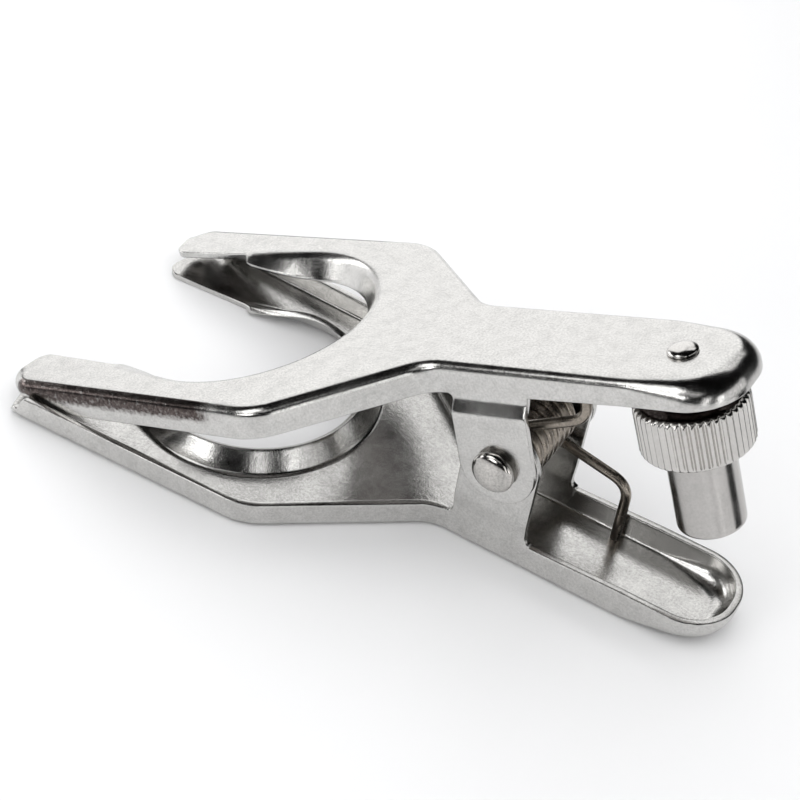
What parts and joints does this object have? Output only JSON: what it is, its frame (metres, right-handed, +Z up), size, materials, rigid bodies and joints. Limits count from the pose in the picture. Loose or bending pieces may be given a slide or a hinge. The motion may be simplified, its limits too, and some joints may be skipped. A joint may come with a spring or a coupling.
{
  "type": "ball joint pinch clamp",
  "caption": "Pinch clamp with two forked pressed-steel jaws on a riveted pivot, closed by a torsion spring and locked by a knurled nut on a stud.",
  "frame": {"origin": "underside of the lower lever, directly below the pivot pin's axis, on the plane of symmetry", "axes": "+X towards the handle ends, +Y across the clamp along the pivot pin, +Z up from the flat lower lever"},
  "size_m": [0.102, 0.0498, 0.042],
  "materials": {
    "pressed_steel": "satin, fine scratches",
    "rivet_steel": "polished",
    "spring_wire": "drawn wire, slightly dull",
    "turned_steel": "bright turned"
  },
  "bodies": {
    "lower": {"lower_lever": "pressed_steel", "pivot_rivet": "rivet_steel", "torsion_spring": "spring_wire"},
    "upper": {"upper_lever": "pressed_steel", "lock_stud": "turned_steel"},
    "nut_barrel": {"nut_barrel": "turned_steel"},
    "nut_head": {"nut_head": "turned_steel"}
  },
  "joints": [
    {"name": "jaw_hinge", "type": "hinge", "parent": "lower", "child": "upper", "pos_m": [0, 0, 0.01696], "axis": [0, 1, 0], "range_deg": [0, 16], "stiffness_Nm_per_rad": 0.256, "springref_deg": -60.16, "deforming": ["torsion_spring"]},
    {"name": "nut_slide", "type": "slide", "parent": "upper", "child": "nut_barrel", "axis": [0.3843, 0, -0.9232], "range_m": [0, 0.007]},
    {"name": "nut_spin", "type": "hinge", "parent": "nut_barrel", "child": "nut_head", "pos_m": [0.01697, 0, 0.03957], "axis": [0.3843, 0, -0.9232], "range_deg": [0, 3150]}
  ],
  "couplings": [
    {"joint": "nut_spin", "follows": "nut_slide", "rad_per_m": 7854}
  ]
}
